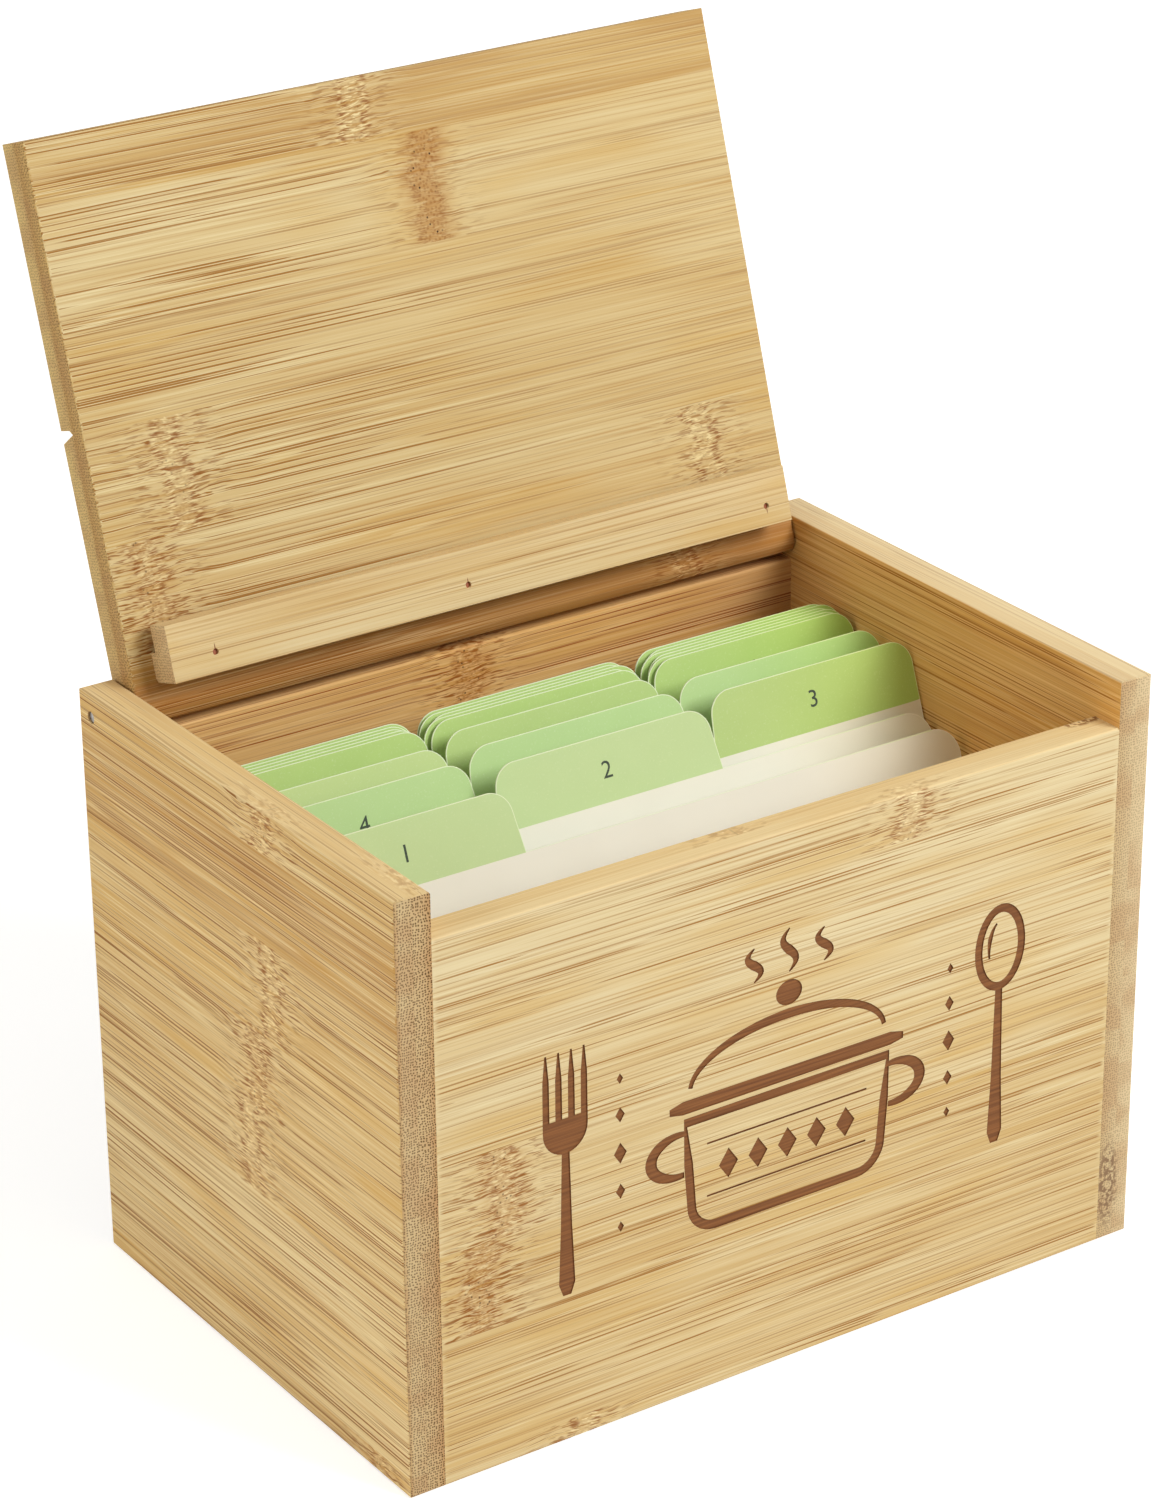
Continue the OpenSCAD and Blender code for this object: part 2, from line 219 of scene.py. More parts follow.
def bamboo(name, along, across, through, strips, top, origin=(0, 0, 0), glue=0.0,
           other_ply=0.2, warmth=0.0, crowd=0.5, bold=1.0, busy=None, ends_at=None,
           extra_node=None, fibre_colour=(170, 120, 58), tint=(1.0, 1.0, 1.0), other_tint=None,
           painted_shade=None, top_tint=None, sawn=((0.0, 206, 180, 138), (1.0, 176, 138, 96)),
           sawn_from=0.0, sawn_to=7.6, pores=(0.5, 0.9), stains=()):
    """Laminated bamboo as a solid pattern, in millimetres from the origin. along, across and
    through are the directions of the fibres, across the strips and through the plies.

    Strips: each strip is (start, tone, middle of its node or None, browning of the node), the
    last one ends at top, and extra_node is (start, end, middle) for a strip's second node.
    Plies: they meet at glue, and the one behind it is darker by other_ply. warmth darkens both.
    Fibres: crowd is how many there are and bold how dark, busy is between which two places
    they gain strength, ends_at how far from the middle they stop.
    Tints: tint and other_tint multiply the two plies' colours, a painted shade towards one end
    is given as (direction, from, to, tint), and top_tint is the planed upper edge's colour.
    Sawn ends: sawn holds their colours, from sawn_from to sawn_to through the board, and pores
    how strong the dots are at the two. stains lists single marks."""
    material, tree, shader = finish_of(name)
    coordinates = tree.nodes.new("ShaderNodeTexCoord")
    facing = coordinates.outputs["Normal"]
    millimetres = arrow(tree, "MULTIPLY_ADD", coordinates.outputs["Object"], [1000.0] * 3,
                        [-o for o in origin])
    u, v, w = (arrow(tree, "DOT_PRODUCT", millimetres, way) for way in (along, across, through))

    # The ply behind the glue line has its own tone, and its strips and nodes are elsewhere.
    shift_along, shift_across = 37.0, 8.0
    behind = sum_of(tree, "LESS_THAN", w, glue)
    u_ply = line_up(tree, behind, shift_along, u)
    v_ply = line_up(tree, behind, shift_across, v)

    # Red holds where a strip's node is, from -100 to 100 mm, green how brown the node is,
    # blue the strip's tone, and alpha what sets its pattern apart from its neighbours'.
    low = strips[0][0]
    stops = []
    for k, (start, tone, node_at, brown) in enumerate(strips):
        here = 1.0 if node_at is None else (node_at + 100) / 200
        stops.append(((start - low) / (top - low), (here, brown, tone, (k * 0.37) % 1.0)))
    along_table = sum_of(tree, "DIVIDE", minus(tree, v_ply, low), top - low)
    table = scale_of(tree, stops, along_table, "CONSTANT")
    red, brown, tone = parts_of(tree, table["Color"], "Color")
    node_at = line_up(tree, red, 200.0, -100.0)
    seed = line_up(tree, table["Alpha"], 90.0, times(tree, behind, 41.0))
    w_seed = plus(tree, w, seed)
    lay = point(tree, u, v, w_seed)

    # How far a point is from the strip's node, whose line wavers across the strip.
    waver = plus(tree, centred(tree, cloud(tree, lay, (400, 5.5, 30), 3.1), 8.0),
                 centred(tree, cloud(tree, lay, (400, 1.1, 3), 8.4), 2.4))
    from_node = minus(tree, minus(tree, u_ply, node_at), waver)
    if extra_node is not None:
        start, end, second_at = extra_node
        second = minus(tree, plus(tree, from_node, node_at), second_at)
        fits = times(tree, sum_of(tree, "GREATER_THAN", v_ply, start),
                     sum_of(tree, "LESS_THAN", v_ply, end))
        fits = times(tree, fits, sum_of(tree, "LESS_THAN", size_of(tree, second), 40.0))
        from_node = plus(tree, from_node, times(tree, fits, minus(tree, second, from_node)))
        brown = times(tree, brown, line_up(tree, fits, -0.65, 1.0))
    away = size_of(tree, from_node)
    inside = step(tree, away, 3.6, 1.0)
    rim = step(tree, size_of(tree, minus(tree, away, 2.6)), 1.6, 0.4)
    near = step(tree, away, 16.0, 3.0)

    # The fibres: long straight columns that hardly wander, bent and broken beside a node.
    fibre_pitch = 0.54
    wander = centred(tree, cloud(tree, lay, (140, 14, 14), 1.3), 1.6)
    slant = times(tree, from_node, centred(tree, cloud(tree, lay, (60, 6, 9), 4.4), 0.45))
    bend = plus(tree, slant, centred(tree, cloud(tree, lay, (5, 1.6, 3), 5.2), 0.9))
    v_fibre = plus(tree, plus(tree, v, wander), times(tree, near, bend))
    w_fibre = plus(tree, w_seed, centred(tree, cloud(tree, lay, (150, 7, 7), 2.9), 2.4))
    bent = point(tree, u, v_fibre, w_fibre)
    grid = point(tree, sum_of(tree, "DIVIDE", v_fibre, fibre_pitch),
                 sum_of(tree, "DIVIDE", w_fibre, fibre_pitch))
    columns = honeycomb(tree, grid, 1.0)
    from_fibre = columns["Distance"]
    fibre = step(tree, from_fibre, 0.42, 0.24)
    picked = parts_of(tree, columns["Color"], "Color")[0]
    crowded = step(tree, cloud(tree, lay, (90, 3.6, 9), 7.7),
                   0.6 - 0.3 * crowd, 0.75 - 0.3 * crowd)
    strength = times(tree, sum_of(tree, "POWER", picked, 0.9), line_up(tree, crowded, 0.65, 0.35))
    faded = step(tree, cloud(tree, lay, (26, 0.7, 2), 10.6), 0.3, 0.46)
    strength = times(tree, strength, faded)
    strength = sum_of(tree, "MINIMUM", times(tree, strength, 1.25 * bold), 1.0)
    if busy is not None:
        strength = times(tree, strength, plus(tree, step(tree, u, *busy), 0.55))
    rough = times(tree, brown, step(tree, brown, 0.95, 0.75))
    rough = times(tree, near, line_up(tree, rough, 0.8, 0.3))
    strength = plus(tree, strength, times(tree, rough, minus(tree, 0.9, strength)))
    speck = cloud(tree, bent, (3.8, 0.36, 0.9), 14.2)
    broken = step(tree, speck, 0.46, 0.54)
    whole = minus(tree, 1.0, times(tree, near, minus(tree, 1.0, broken)))
    line = times(tree, times(tree, fibre, strength), whole)
    line = times(tree, line, minus(tree, 1.0, times(tree, inside, 0.85)))
    if ends_at is not None:
        line = times(tree, line, step(tree, size_of(tree, u), ends_at, ends_at - 1.5))

    # The ground between the fibres: strip tone, streaks, hair-fine lines and golden patches.
    streak = cloud(tree, lay, (110, 1.5, 3.5), 6.1)
    broad = cloud(tree, lay, (60, 7, 10), 9.3)
    level = line_up(tree, minus(tree, streak, 0.5), 0.2 * bold * bold,
                    line_up(tree, broad, 0.5, 0.1))
    level = plus(tree, level, line_up(tree, tone, 0.75, -0.21 + warmth))
    level = plus(tree, level, times(tree, behind, other_ply))
    ground = scale_of(tree, ((0.18, shade(232, 212, 168)), (0.45, shade(225, 198, 146)),
                             (0.7, shade(213, 177, 116)), (1.0, shade(184, 134, 72))),
                      level)["Color"]
    hair = cloud(tree, lay, (52, 0.36, 0.5), 12.9, 2.0)
    for all_at, most, hair_colour in ((0.74, 0.7, (190, 140, 76)), (0.28, 0.3, (240, 222, 180))):
        share = times(tree, step(tree, hair, 0.5, all_at), most)
        ground = blend(tree, share, ground, shade(*hair_colour))
    tan = times(tree, step(tree, size_of(tree, plus(tree, from_node, 3.0)), 15.0, 2.0), brown)
    patch = step(tree, cloud(tree, lay, (45, 9, 12), 20.1), 0.5, 0.72)
    golden = sum_of(tree, "MAXIMUM", times(tree, tan, 0.45), times(tree, patch, 0.4))
    ground = blend(tree, golden, ground, shade(216, 172, 92))
    pale_side = times(tree, step(tree, from_fibre, 0.62, 0.44), strength)
    ground = blend(tree, times(tree, pale_side, 0.45 * bold), ground, shade(244, 226, 180))
    colour = blend(tree, line, ground, shade(*fibre_colour))
    dashes = times(tree, rough, step(tree, speck, 0.56, 0.63))
    colour = blend(tree, dashes, colour, shade(142, 80, 24))

    # The node: a mottled band between two rows of short notches, with a few black pores.
    nick = cloud(tree, bent, (2.0, 0.32, 0.9), 17.2)
    blur = plus(tree, away, centred(tree, cloud(tree, lay, (5, 2.2, 2), 11.2, 2.0), 7.0))
    mottle = times(tree, step(tree, blur, 8.0, 0.0), brown)
    colour = blend(tree, times(tree, mottle, 0.6), colour, shade(178, 116, 48))
    freckle = times(tree, step(tree, honeycomb(tree, lay, 1.15)["Distance"], 0.42, 0.2),
                    times(tree, step(tree, away, 4.5, 1.5), brown))
    colour = blend(tree, times(tree, freckle, 0.4), colour, shade(146, 86, 30))
    pale = times(tree, step(tree, away, 5.0, 2.0), step(tree, nick, 0.46, 0.34))
    pale = times(tree, pale, line_up(tree, times(tree, brown, brown), -0.8, 1.0))
    colour = blend(tree, pale, colour, shade(246, 224, 172))
    notch = times(tree, rim, step(tree, nick, 0.5, 0.62))
    colour = blend(tree, times(tree, notch, line_up(tree, brown, -0.45, 0.85)), colour,
                   shade(142, 76, 24))
    black = times(tree, step(tree, honeycomb(tree, lay, 0.55)["Distance"], 0.15, 0.08),
                  times(tree, inside, brown))
    black = times(tree, black, step(tree, cloud(tree, lay, (5, 5, 5), 6.6), 0.46, 0.54))
    colour = blend(tree, black, colour, shade(70, 42, 24))

    # Plies differ a little in tint, painted shade can darken and redden one end of a board, and
    # the planed upper edges are the palest.
    face_tint = blend(tree, behind, (*tint, 1.0), (*(other_tint or tint), 1.0))
    if painted_shade is not None:
        towards, nothing_at, all_at, painted_shade_tint = painted_shade
        share = step(tree, arrow(tree, "DOT_PRODUCT", millimetres, towards), nothing_at, all_at)
        face_tint = blend(tree, share, face_tint, (*painted_shade_tint, 1.0))
    if top_tint is not None:
        facing_up = step(tree, parts_of(tree, facing)[2], 0.5, 0.9)
        colour = blend(tree, times(tree, facing_up, 0.5), colour, shade(*top_tint))
        face_tint = blend(tree, facing_up, face_tint, (1.0, 1.0, 1.0, 1.0))
    colour = blend(tree, 1.0, colour, face_tint, "MULTIPLY")

    # Across the fibres: a browner ground with a dark dot for each of them.
    cut = step(tree, size_of(tree, arrow(tree, "DOT_PRODUCT", facing, along)), 0.45, 0.85)
    depth = sum_of(tree, "DIVIDE", minus(tree, w, sawn_from), sawn_to - sawn_from)
    cross = scale_of(tree, [(at, shade(*rest)) for at, *rest in sawn], depth)["Color"]
    share = times(tree, step(tree, broad, 0.4, 0.66), 0.35)
    cross = blend(tree, share, cross, shade(176, 130, 88))
    dot = step(tree, honeycomb(tree, grid, 1.0, 0.5)["Distance"], 0.44, 0.14)
    deepen = line_up(tree, depth, pores[1] - pores[0], pores[0])
    cross = blend(tree, times(tree, dot, deepen), cross, shade(84, 56, 20))
    colour = blend(tree, cut, colour, cross)

    # Single marks: (middle along u, v and w), (their half sizes), colour, whether mottled.
    for centre, reach, stain, mottled in stains:
        offset = arrow(tree, "SUBTRACT", point(tree, u, v, w), centre)
        offset = arrow(tree, "DIVIDE", offset, reach)
        mark = step(tree, arrow(tree, "LENGTH", offset), 1.0, 0.5)
        if mottled:
            mark = times(tree, mark, step(tree, cloud(tree, lay, (0.9, 0.9, 0.9), 2.2), 0.4, 0.6))
        colour = blend(tree, mark, colour, shade(*stain))

    feed(tree, shader.inputs["Base Color"], colour)
    shader.inputs["Specular IOR Level"].default_value = 0.15
    feed(tree, shader.inputs["Roughness"], line_up(tree, hair, 0.2, 0.5))
    emboss(tree, shader, hair, 0.3, 0.00005)
    return material


def show(name, data):
    """A new object in the scene, at the origin."""
    thing = bpy.data.objects.new(name, data)
    bpy.context.scene.collection.objects.link(thing)
    return thing


def made_plain(thing):
    """The plain mesh that an object's modifiers or letters come to."""
    bpy.context.view_layer.update()
    worked_out = thing.evaluated_get(bpy.context.evaluated_depsgraph_get())
    return bpy.data.meshes.new_from_object(worked_out)


def board(node, body, material, cutter=None):
    """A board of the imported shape, with its arrises shaded as rounded ones. What the cutter
    fills is taken out of it."""
    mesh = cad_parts[node].data.copy()
    mesh.name = node + "_board"
    shape = bmesh.new()
    shape.from_mesh(mesh)
    bmesh.ops.remove_doubles(shape, verts=shape.verts, dist=2e-6)
    bmesh.ops.dissolve_limit(shape, angle_limit=math.radians(0.4), verts=shape.verts,
                             edges=shape.edges)
    shape.to_mesh(mesh)
    shape.free()
    mesh.materials.clear()
    mesh.materials.append(material)
    mesh.shade_smooth()
    mesh.set_sharp_from_angle(angle=math.radians(40))
    piece = show(node + "_board", mesh)
    if cutter is not None:
        mesh.materials.append(cutter.data.materials[1])
        burn = piece.modifiers.new("burn", "BOOLEAN")
        burn.object = cutter
        burn.solver = "EXACT"
        burn.use_self = True
        burnt = made_plain(piece)
        piece.modifiers.clear()
        piece.data = burnt
        bpy.data.objects.remove(cutter)
    even = piece.modifiers.new("even_shading", "WEIGHTED_NORMAL")
    even.keep_sharp = True
    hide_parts(node)
    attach(piece, body)


bottom_bamboo = bamboo(
    "bottom_bamboo", (1, 0, 0), (0, 1, 0), (0, 0, 1),
    [(-60, 0.4, None, 0), (-38, 0.6, 20, 0.5), (-17, 0.3, None, 0), (4, 0.5, -40, 0.6),
     (25, 0.4, None, 0)], 60, glue=-50, warmth=0.12)
board("bottom_panel", "box", bottom_bamboo)


# ---- Side panels ----
# Two full-height panels of two-ply bamboo. They overlap the ends of the front and back
# panels, so their own sawn ends, with the dots of the cut fibres, show at the front.

left_bamboo = bamboo(
    "left_bamboo", (0, 1, 0), (0, 0, 1), (-1, 0, 0),
    [(-14, 0.5, -45, 0.5), (3.9, 0.35, None, 0), (22, 0.2, None, 0), (40.1, 0.45, -3, 0.3),
     (58.3, 0.52, -6.5, 0.5), (76.4, 0.55, -12, 0.3), (95.1, 0.9, None, 0),
     (113.3, 0.7, -12, 0.4)], 124,
    glue=81.2, other_ply=0.05, crowd=1.0, bold=1.35, fibre_colour=(152, 100, 44),
    tint=(1.05, 1.02, 0.93), top_tint=(231, 206, 154),
    sawn=((0.0, 186, 148, 100), (0.2, 198, 168, 122), (0.85, 204, 180, 136), (1.0, 196, 160, 112)),
    sawn_from=77.4, sawn_to=85, pores=(1.0, 0.75))
board("left_side_panel", "box", left_bamboo)

# The inner ply's strong orange tint is painted warm shade: the inner face stands in the box's
# shade and in light thrown back by the wood. The planed top edge is kept out of it.
right_bamboo = bamboo(
    "right_bamboo", (0, 1, 0), (0, 0, 1), (-1, 0, 0),
    [(-10, 0.5, None, 0), (9, 0.5, 30, 0.6), (28, 0.4, None, 0), (47, 0.4, -35, 0.7),
     (66, 0.5, None, 0), (85, 0.6, None, 0), (104, 0.5, None, 0)], 124,
    glue=-81.2, other_ply=-0.2, warmth=0.16, crowd=0.9, bold=1.1,
    tint=(1.04, 0.85, 0.59), other_tint=(1.0, 0.91, 0.71), top_tint=(241, 224, 184),
    sawn=((0.0, 217, 196, 156), (0.6, 207, 184, 142), (1.0, 197, 170, 126)),
    sawn_from=-85, sawn_to=-77.4, pores=(0.3, 0.55),
    stains=[((-56.2, 12.5, -79.6), (3, 12, 3.4), (138, 110, 82), True)])
board("right_side_panel", "box", right_bamboo)


# ---- Front panel ----
# A board between the side panels, flush with their ends and lower by the lid. Its front
# is burnt by laser to a quarter of a millimetre with a steaming pot, a fork and a spoon,
# in the plain manner of kitchen goods.

burn_depth = 0.25
burn_overshoot = 0.2
raster_pitch = 0.28
front_y = -56.2


def own_place(tree):
    """Where a point is on its piece, in metres."""
    return tree.nodes.new("ShaderNodeTexCoord").outputs["Object"]


burnt_bamboo, burnt_tree, burnt_shader = finish_of("burnt_bamboo")
burnt_place = arrow(burnt_tree, "MULTIPLY", own_place(burnt_tree), [1000.0] * 3)
burnt_grain = cloud(burnt_tree, burnt_place, (22, 1, 0.5), 4.1, 2.0)
burnt_colour = scale_of(burnt_tree, ((0.3, shade(108, 66, 36)), (0.7, shade(150, 98, 56))),
                        burnt_grain)["Color"]
raster = times(burnt_tree, parts_of(burnt_tree, burnt_place)[2], 2 * math.pi / raster_pitch)
raster = line_up(burnt_tree, sum_of(burnt_tree, "SINE", raster), 0.12, 0.14)
burnt_colour = blend(burnt_tree, raster, burnt_colour, shade(84, 48, 22))
feed(burnt_tree, burnt_shader.inputs["Base Color"], burnt_colour)
feed(burnt_tree, burnt_shader.inputs["Roughness"], line_up(burnt_tree, burnt_grain, 0.2, 0.65))
burnt_shader.inputs["Specular IOR Level"].default_value = 0.25

engraved = bmesh.new()


def corner(x, z):
    """A corner of the engraving, in millimetres, a little in front of the panel."""
    return engraved.verts.new((x, front_y - burn_overshoot, z))


def fill(corners):
    """A filled shape of the engraving, from its corners in X and Z."""
    engraved.faces.new([corner(x, z) for x, z in corners])


def line_of(path, widths, closed=False):
    """A burnt line along a path, whose width changes along it."""
    count = len(path)
    sides = []
    for k, (x, z) in enumerate(path):
        before = path[k - 1] if k or closed else path[k]
        after = path[(k + 1) % count] if k < count - 1 or closed else path[k]
        dx, dz = after[0] - before[0], after[1] - before[1]
        size = math.hypot(dx, dz)
        share = k / (count - 1) * (len(widths) - 1)
        low_k = min(int(share), len(widths) - 2)
        width = widths[low_k] + (widths[low_k + 1] - widths[low_k]) * (share - low_k)
        sides.append([corner(x - side * dz / size * width / 2, z + side * dx / size * width / 2)
                      for side in (1, -1)])
    for k in range(count if closed else count - 1):
        (a, b), (c, d) = sides[k], sides[(k + 1) % count]
        engraved.faces.new((a, b, d, c))


def bow(x, z, rx, rz, start, end, count=24):
    """Points along an arc of an ellipse, its angles in degrees."""
    angles = [math.radians(start + (end - start) * k / count) for k in range(count + 1)]
    return [(x + rx * math.cos(angle), z + rz * math.sin(angle)) for angle in angles]


def diamond(x, z, across, high):
    """A filled diamond about a middle."""
    fill([(x - across / 2, z), (x, z - high / 2), (x + across / 2, z), (x, z + high / 2)])


# The pot: its side, rim, lid, knob, handles, a band of diamonds and the steam.
pot_side = (bow(-16.5, 41, 5.5, 5.5, 180, 270, 8) + bow(16.5, 41, 5.5, 5.5, 270, 360, 8)
            + [(22.7, 50), (23.4, 59), (0, 59), (-23.4, 59), (-22.7, 50)])
line_of(pot_side, (2.0, 2.0), closed=True)
line_of([(-27, 62.2), (-24, 62.3), (0, 62.3), (24, 62.3), (27, 62.2)], (1.4, 2.8, 2.8, 2.8, 1.4))
line_of(bow(0, 65.3, 22.4, 9.6, 176, 4, 36), (1.0, 1.6, 2.1, 1.6, 1.0))
fill(bow(0, 79.3, 3.0, 2.6, 0, 345, 23))
for side in (-1, 1):
    handle = [(side * x, z) for x, z in bow(24.8, 52.6, 6.4, 4.4, 100, -100)]
    line_of(handle, (1.2, 2.2, 2.6, 2.2, 1.2))
for x in (-13.6, -6.8, 0, 6.8, 13.6):
    diamond(x, 47.6, 4.4, 6.4)
for z in (42.0, 53.2):
    line_of([(-18.5, z), (18.5, z)], (0.4, 0.9, 0.9, 0.4))
for x, tall in ((-8, 7.0), (0, 9.0), (8, 7.0)):
    steam = [(x + 1.5 * math.sin(k / 20 * 2 * math.pi), 83.6 + tall * k / 20) for k in range(21)]
    line_of(steam, (0.3, 1.4, 1.9, 1.4, 0.3))

# The fork at the left and the spoon at the right, with small diamonds beside the pot.
line_of([(-50, 31.5), (-50, 34), (-50, 46), (-50, 62)], (1.8, 3.6, 2.5, 1.7))
fill(bow(-50, 66.5, 4.9, 5.2, 180, 360, 18) + [(-45.1, 68.6), (-54.9, 68.6)])
for k in range(4):
    x = -50 + (k - 1.5) * 2.77
    line_of([(x, 67.6), (x, 77), (x, 82.4)], (1.5, 1.4, 0.4))
line_of([(50, 31.5), (50, 34), (50, 46), (50, 65.5)], (1.8, 3.6, 2.5, 1.7))
line_of(bow(50, 74, 5.2, 8.3, 0, 360, 40)[:-1], (1.8, 1.8), closed=True)
line_of(bow(50, 74, 2.7, 5.6, 110, 200, 12), (0.4, 1.1, 0.4))
for side in (-1, 1):
    for z, size in ((42, 1.1), (49.5, 1.6), (57.5, 2.2), (65.5, 1.6), (73, 1.1)):
        diamond(side * 38, z, 1.3 * size, 2.0 * size)

bmesh.ops.recalc_face_normals(engraved, faces=engraved.faces)
pushed = bmesh.ops.extrude_face_region(engraved, geom=engraved.faces[:])
for vertex in [g for g in pushed["geom"] if isinstance(g, bmesh.types.BMVert)]:
    vertex.co.y = front_y + burn_depth
for vertex in engraved.verts:
    vertex.co /= 1000
bmesh.ops.recalc_face_normals(engraved, faces=engraved.faces)
for facet in engraved.faces:
    facet.material_index = 1
engraving_mesh = bpy.data.meshes.new("engraving_cutter")
engraved.to_mesh(engraving_mesh)
engraved.free()

front_bamboo = bamboo(
    "front_bamboo", (1, 0, 0), (0, 0, 1), (0, -1, 0),
    [(-14, 0.5, -46, 0.3), (4, 0.55, None, 0), (30.1, 0.62, -69, 0.74), (48.2, 0.37, -63, 0.62),
     (66.4, 0.33, None, 0), (84.5, 0.24, None, 0), (102.6, 0.2, 27, 0.4)], 124,
    glue=52.4, other_ply=0.34, crowd=0.75, ends_at=77.6,
    tint=(0.89, 0.92, 0.94), top_tint=(230, 205, 152),
    stains=[((73.8, 112.6, 49.2), (6.5, 1.2, 2.4), (150, 108, 64), True)])
engraving_mesh.materials.append(front_bamboo)
engraving_mesh.materials.append(burnt_bamboo)
board("front_panel", "box", front_bamboo,
      cutter=show("engraving_cutter", engraving_mesh))


# ---- Back panel ----
# The same board at the back, without an engraving. The photograph shows its inner face,
# in the shade of the lid.

# Towards the right end the inner face is darkened and reddened with painted shade, where the right
# side panel shades the corner.
rear_bamboo = bamboo(
    "rear_bamboo", (1, 0, 0), (0, 0, 1), (0, -1, 0),
    [(-14, 0.5, None, 0), (5, 0.5, 40, 0.6), (24, 0.4, None, 0), (43, 0.5, -50, 0.6),
     (62, 0.5, None, 0), (81, 0.5, 30, 0.5), (100, 0.5, -2, 0.8)], 124,
    glue=-52.4, other_ply=-0.1, warmth=0.1, crowd=0.8, fibre_colour=(160, 96, 44),
    tint=(1.12, 0.98, 0.82), other_tint=(1.0, 1.0, 1.0),
    painted_shade=((1, 0, 0), 20, 74, (0.9, 0.7, 0.56)))
board("rear_panel", "box", rear_bamboo)


# ---- Hinge pins ----
# Two steel wires pressed into the side panels and running in bores of the lid. The end
# of each shows as a small grey disc in a dark ring.


def steel_wire(name, centre_y, centre_z, stain=(84, 62, 44), shine=0.85):
    """Steel wire along X. It is bare about the given centre, in metres, and stained beyond."""
    bare_to, stained_from = 0.00092, 0.00118
    material, tree, shader = finish_of(name)
    shader.inputs["Metallic"].default_value = shine
    place = own_place(tree)
    scratch = cloud(tree, place, (0.0008, 0.0002, 0.0002), 2.2, 3.0)
    colour = scale_of(tree, ((0.3, shade(150, 148, 146)), (0.7, shade(196, 194, 190))),
                      scratch)["Color"]
    off_axis = arrow(tree, "SUBTRACT", place, (0, centre_y, centre_z))
    off_axis = arrow(tree, "MULTIPLY", off_axis, (0, 1, 1))
    ring = step(tree, arrow(tree, "LENGTH", off_axis), bare_to, stained_from)
    feed(tree, shader.inputs["Base Color"], blend(tree, ring, colour, shade(*stain)))
    feed(tree, shader.inputs["Roughness"], line_up(tree, scratch, 0.3, 0.25))
    return material


def give_finish(node, material):
    """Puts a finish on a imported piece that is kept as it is."""
    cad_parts[node].data.materials.clear()
    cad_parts[node].data.materials.append(material)


pin_steel = steel_wire("pin_steel", 0.0516, 0.1174)
for node in ("hinge_pin_left", "hinge_pin_right"):
    give_finish(node, pin_steel)


# ---- Lid panel ----
# One board with a slanted groove across its outer face that holds a card upright. Its
# heel is rounded to turn on the pins, and its inner face carries the batten.

pivot = (0.0, 51.6, 117.4)
lid_up = (0.0, 0.305695, 0.952129)
lid_inward = (0.0, -0.952129, 0.305695)
# The lid's inner face below the batten, and its heel, are tinted browner and redder with painted
# warm shade, for the batten's shadow.
inward_and_down = tuple(1.2 * Vector(lid_inward) - Vector(lid_up))
lid_bamboo = bamboo(
    "lid_bamboo", (1, 0, 0), lid_up, lid_inward,
    [(-14, 1.0, 50, 0.4), (9, 0.45, -69, 0.6), (30.5, 0.5, -59.5, 0.4), (52.1, 0.45, None, 0),
     (73.6, 0.3, 6, 1.0), (94.9, 0.75, -7, 0.25)], 118, origin=pivot,
    warmth=0.05, crowd=0.8, bold=1.1, busy=(30, -50), extra_node=(9, 30.5, 59.5),
    tint=(0.82, 0.83, 0.79), painted_shade=(inward_and_down, 0.9, 1.9, (0.85, 0.69, 0.56)),
    sawn=((0.0, 218, 189, 126), (0.45, 210, 178, 116), (0.6, 188, 148, 88), (1.0, 204, 168, 104)),
    sawn_from=-4.6, sawn_to=4.6, pores=(0.4, 0.75))
board("lid_panel", "lid", lid_bamboo)


# ---- Lid batten ----
# A planed strip with a rabbet along its upper edge, glued and nailed to the lid's inner
# face, so that the closed lid can't slide sideways. The nails have split it a little.

batten_bamboo = bamboo(
    "batten_bamboo", (1, 0, 0), lid_up, lid_inward,
    [(-8, 0.25, None, 0), (9.4, 0.35, None, 0)], 30, origin=pivot,
    glue=-20, warmth=0.1, crowd=0.4, bold=0.75, tint=(0.94, 0.96, 0.99),
    sawn=((0.0, 204, 172, 122), (1.0, 216, 188, 140)),
    sawn_from=4.6, sawn_to=12.4, pores=(0.6, 0.5),
    stains=[((x, 7.9 + up, 12.4), (0.13, 1.3, 0.4), (124, 62, 34), False)
            for x, up in ((-62.6, 0.7), (-5.7, 0.4), (66.2, -0.5))])
board("lid_batten", "lid", batten_bamboo)


# ---- Brads ----
# Three steel wire brads, sunk a little below the face of the batten. They are rusty all
# over, because the bare middle of their steel is at the origin, far from them.

give_finish("batten_brads", steel_wire("brad_steel", 0.0, 0.0, (150, 80, 46), 0.1))


# ---- Tabbed dividers ----
# Twenty-four cards of stiff cream paper in eight rows of three. The tab at the left,
# middle or right is printed green on the sheet itself and carries a number.

sheet_width = 0.1524
sheet_height = 0.0991
tab_height = 0.0127
tab_third = sheet_width / 3 / 2 + 0.0005
tab_flare = 0.0015
tab_corner = 0.005
shoulder_corner = 0.006
paper_thickness = 0.00025
rim_width = 0.00016
lean = math.radians(20.5)
sheet_up = Vector((0, math.sin(lean), math.cos(lean)))
sheet_front = Vector((0, -math.cos(lean), math.sin(lean)))

# Outlines: each corner's place across and up the sheet, and its rounding.
half = sheet_width / 2
top_of_tab = sheet_height + tab_height
foot_and_shoulder = [(-half, 0, 0), (half, 0, 0), (half, sheet_height, shoulder_corner)]
middle_outline = foot_and_shoulder + [
    (tab_third, sheet_height, 0), (tab_third - tab_flare, top_of_tab, tab_corner),
    (-tab_third + tab_flare, top_of_tab, tab_corner), (-tab_third, sheet_height, 0),
    (-half, sheet_height, shoulder_corner)]
left_outline = foot_and_shoulder + [
    (-tab_third, sheet_height, 0), (-tab_third - tab_flare, top_of_tab, tab_corner),
    (-half, top_of_tab, tab_corner)]
right_outline = [(-x, y, r) for x, y, r in reversed(left_outline)]


